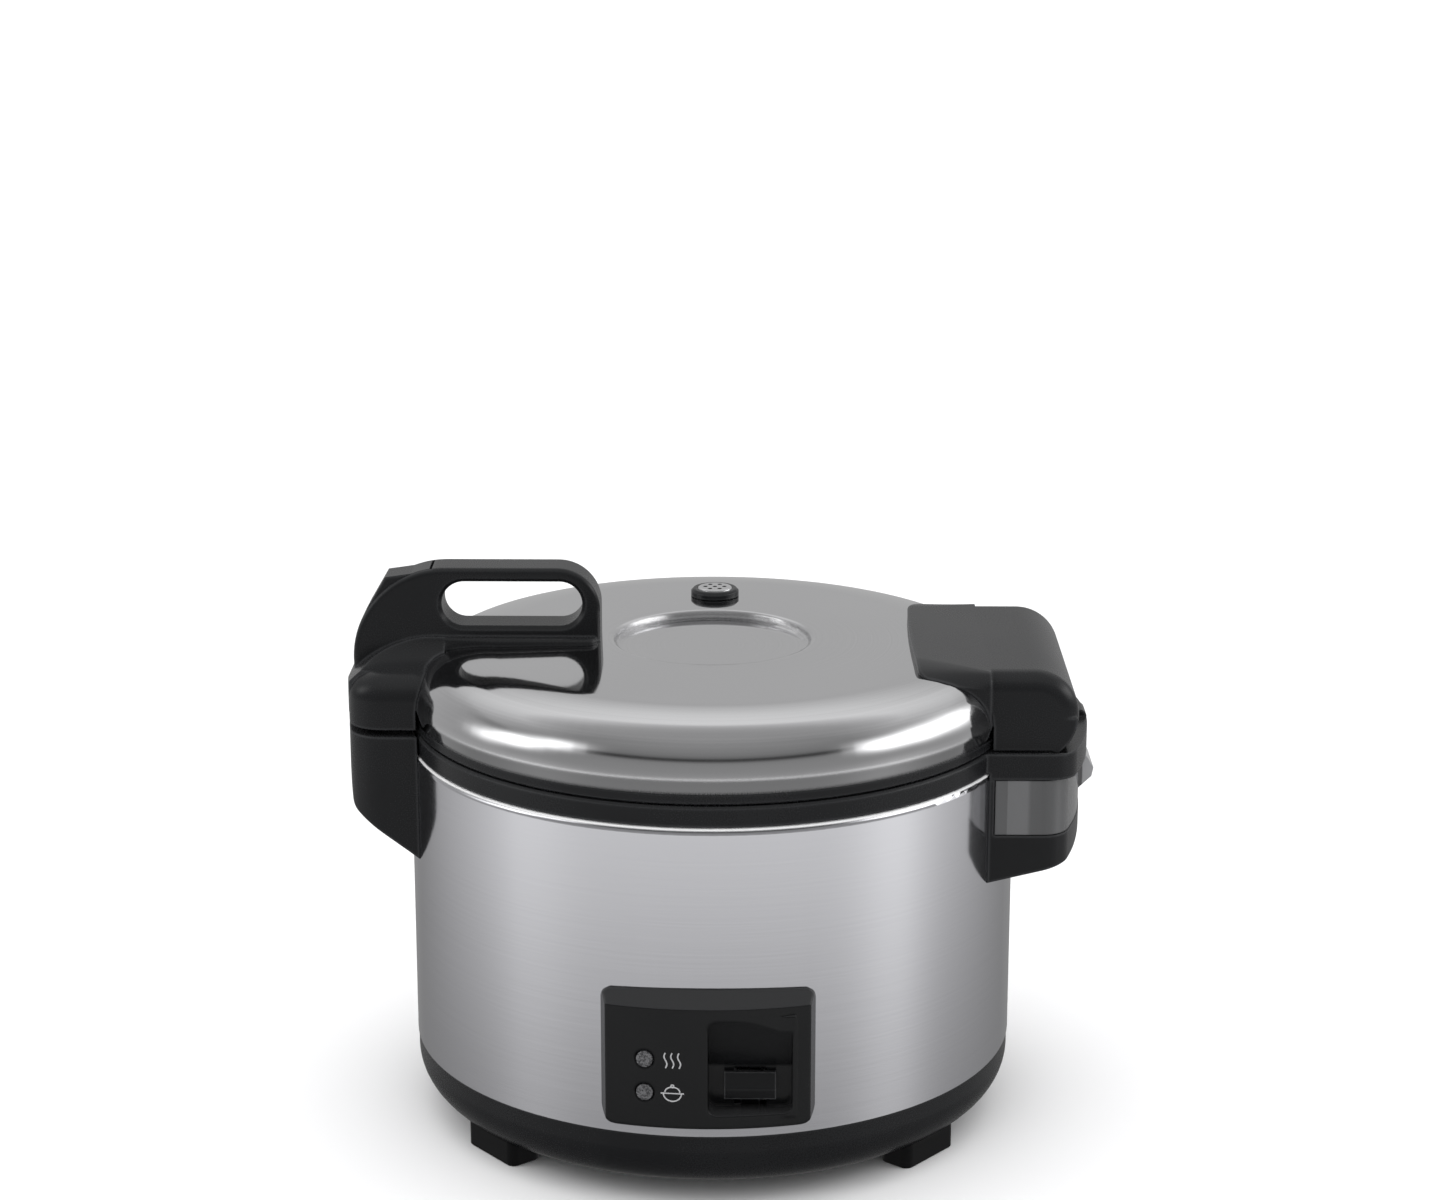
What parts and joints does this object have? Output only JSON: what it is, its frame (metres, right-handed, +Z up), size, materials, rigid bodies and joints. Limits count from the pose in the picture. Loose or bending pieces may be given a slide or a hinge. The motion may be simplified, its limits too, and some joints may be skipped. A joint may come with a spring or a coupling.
{
  "type": "rice cooker",
  "caption": "Electric rice cooker with satin steel body, polished domed lid on a side hinge, carrying handle with release lever, steam vent, dew collector and front switch panel.",
  "frame": {"origin": "centre of the object's bounding box, on the floor under the feet", "axes": "+X from the latch to the hinge, -Y to the front with the switch panel, +Z up"},
  "size_m": [0.4178, 0.354, 0.3122],
  "materials": {
    "body_steel": "fine satin stainless sheet",
    "lid_steel": "polished stainless sheet",
    "black_plastic": "satin moulded, charcoal",
    "foot_plastic": "matt moulded, black",
    "smoked_plastic": "smoked translucent",
    "lens_plastic": "grey faceted, translucent",
    "lamp_glass": "amber",
    "vent_metal": "perforated bright plate",
    "sheet_steel": "plain mill finish",
    "steel_hardware": "plated",
    "spring_steel": "drawn wire",
    "pot_aluminium": "grey non-stick coating",
    "plain_aluminium": "plain",
    "seal_rubber": "grey silicone",
    "band_fabric": "woven glass tape",
    "terminal_plastic": "cream moulded"
  },
  "bodies": {
    "cooker_body": {"base_pan": "black_plastic", "bottom_plate": "sheet_steel", "bottom_plate_screws": "steel_hardware", "control_panel": "black_plastic", "cook_lens": "lens_plastic", "cord_gland": "black_plastic", "foot_front_left": "foot_plastic", "foot_front_right": "foot_plastic", "foot_rear_left": "foot_plastic", "foot_rear_right": "foot_plastic", "foot_screws": "steel_hardware", "heater_plate": "plain_aluminium", "heating_element": "sheet_steel", "hinge_bracket": "black_plastic", "hinge_bracket_screws": "steel_hardware", "hinge_pin": "steel_hardware", "hinge_spring": "spring_steel", "indicator_lamps": "lamp_glass", "inner_liner": "sheet_steel", "inner_pot": "pot_aluminium", "keep_warm_band": "band_fabric", "keep_warm_lens": "lens_plastic", "latch_bracket": "black_plastic", "latch_bracket_screws": "steel_hardware", "latch_catch": "sheet_steel", "microswitch": "terminal_plastic", "outer_shell": "body_steel", "sensor_spring": "spring_steel", "switch_frame": "sheet_steel", "switch_pin": "steel_hardware", "terminal_block": "terminal_plastic", "thermostat_body": "plain_aluminium", "top_ring": "black_plastic"},
    "lid": {"lid_shell": "lid_steel", "lid_rim": "black_plastic", "lid_liner": "sheet_steel", "lid_gasket": "seal_rubber", "inner_lid": "plain_aluminium", "inner_lid_knob": "seal_rubber", "vent_tube": "plain_aluminium", "lid_handle": "black_plastic", "handle_screws": "steel_hardware", "latch_spring": "spring_steel", "hinge_cover": "black_plastic", "hinge_arm": "sheet_steel", "hinge_arm_screws": "steel_hardware"},
    "latch": {"latch_lever": "black_plastic"},
    "steam_vent": {"vent_body": "black_plastic", "vent_cap": "vent_metal"},
    "collector": {"dew_collector": "smoked_plastic"},
    "cook_switch": {"cook_lever": "black_plastic", "switch_arm": "sheet_steel"},
    "magnet": {"magnet_rod": "steel_hardware"},
    "sensor": {"sensor_cap": "plain_aluminium"}
  },
  "joints": [
    {"name": "lid_hinge", "type": "hinge", "parent": "cooker_body", "child": "lid", "pos_m": [0.17, 0, 0.2457], "axis": [0, 1, 0], "range_deg": [0, 85]},
    {"name": "latch_release", "type": "hinge", "parent": "lid", "child": "latch", "pos_m": [-0.1538, 0, 0.2602], "axis": [0, -1, 0], "range_deg": [0, 5], "stiffness_Nm_per_rad": 2, "springref_deg": -1.72, "deforming": ["latch_spring"]},
    {"name": "vent_lift", "type": "slide", "parent": "lid", "child": "steam_vent", "axis": [0, 0, 1], "range_m": [0, 0.03]},
    {"name": "collector_pull", "type": "slide", "parent": "cooker_body", "child": "collector", "axis": [1, 0, 0], "range_m": [0, 0.06]},
    {"name": "cook_switch_press", "type": "hinge", "parent": "cooker_body", "child": "cook_switch", "pos_m": [0.00905, -0.1, 0.04], "axis": [1, 0, 0], "range_deg": [0, 3.5], "stiffness_Nm_per_rad": 1, "springref_deg": -2.86},
    {"name": "magnet_lift", "type": "slide", "parent": "cooker_body", "child": "magnet", "axis": [0, 0, 1], "range_m": [0, 0.0062]},
    {"name": "sensor_press", "type": "slide", "parent": "cooker_body", "child": "sensor", "axis": [0, 0, -1], "range_m": [0, 0.0025], "stiffness_N_per_m": 400, "springref_m": -0.003, "deforming": ["sensor_spring"]}
  ],
  "couplings": [
    {"joint": "magnet_lift", "follows": "cook_switch_press", "m_per_rad": 0.1}
  ]
}
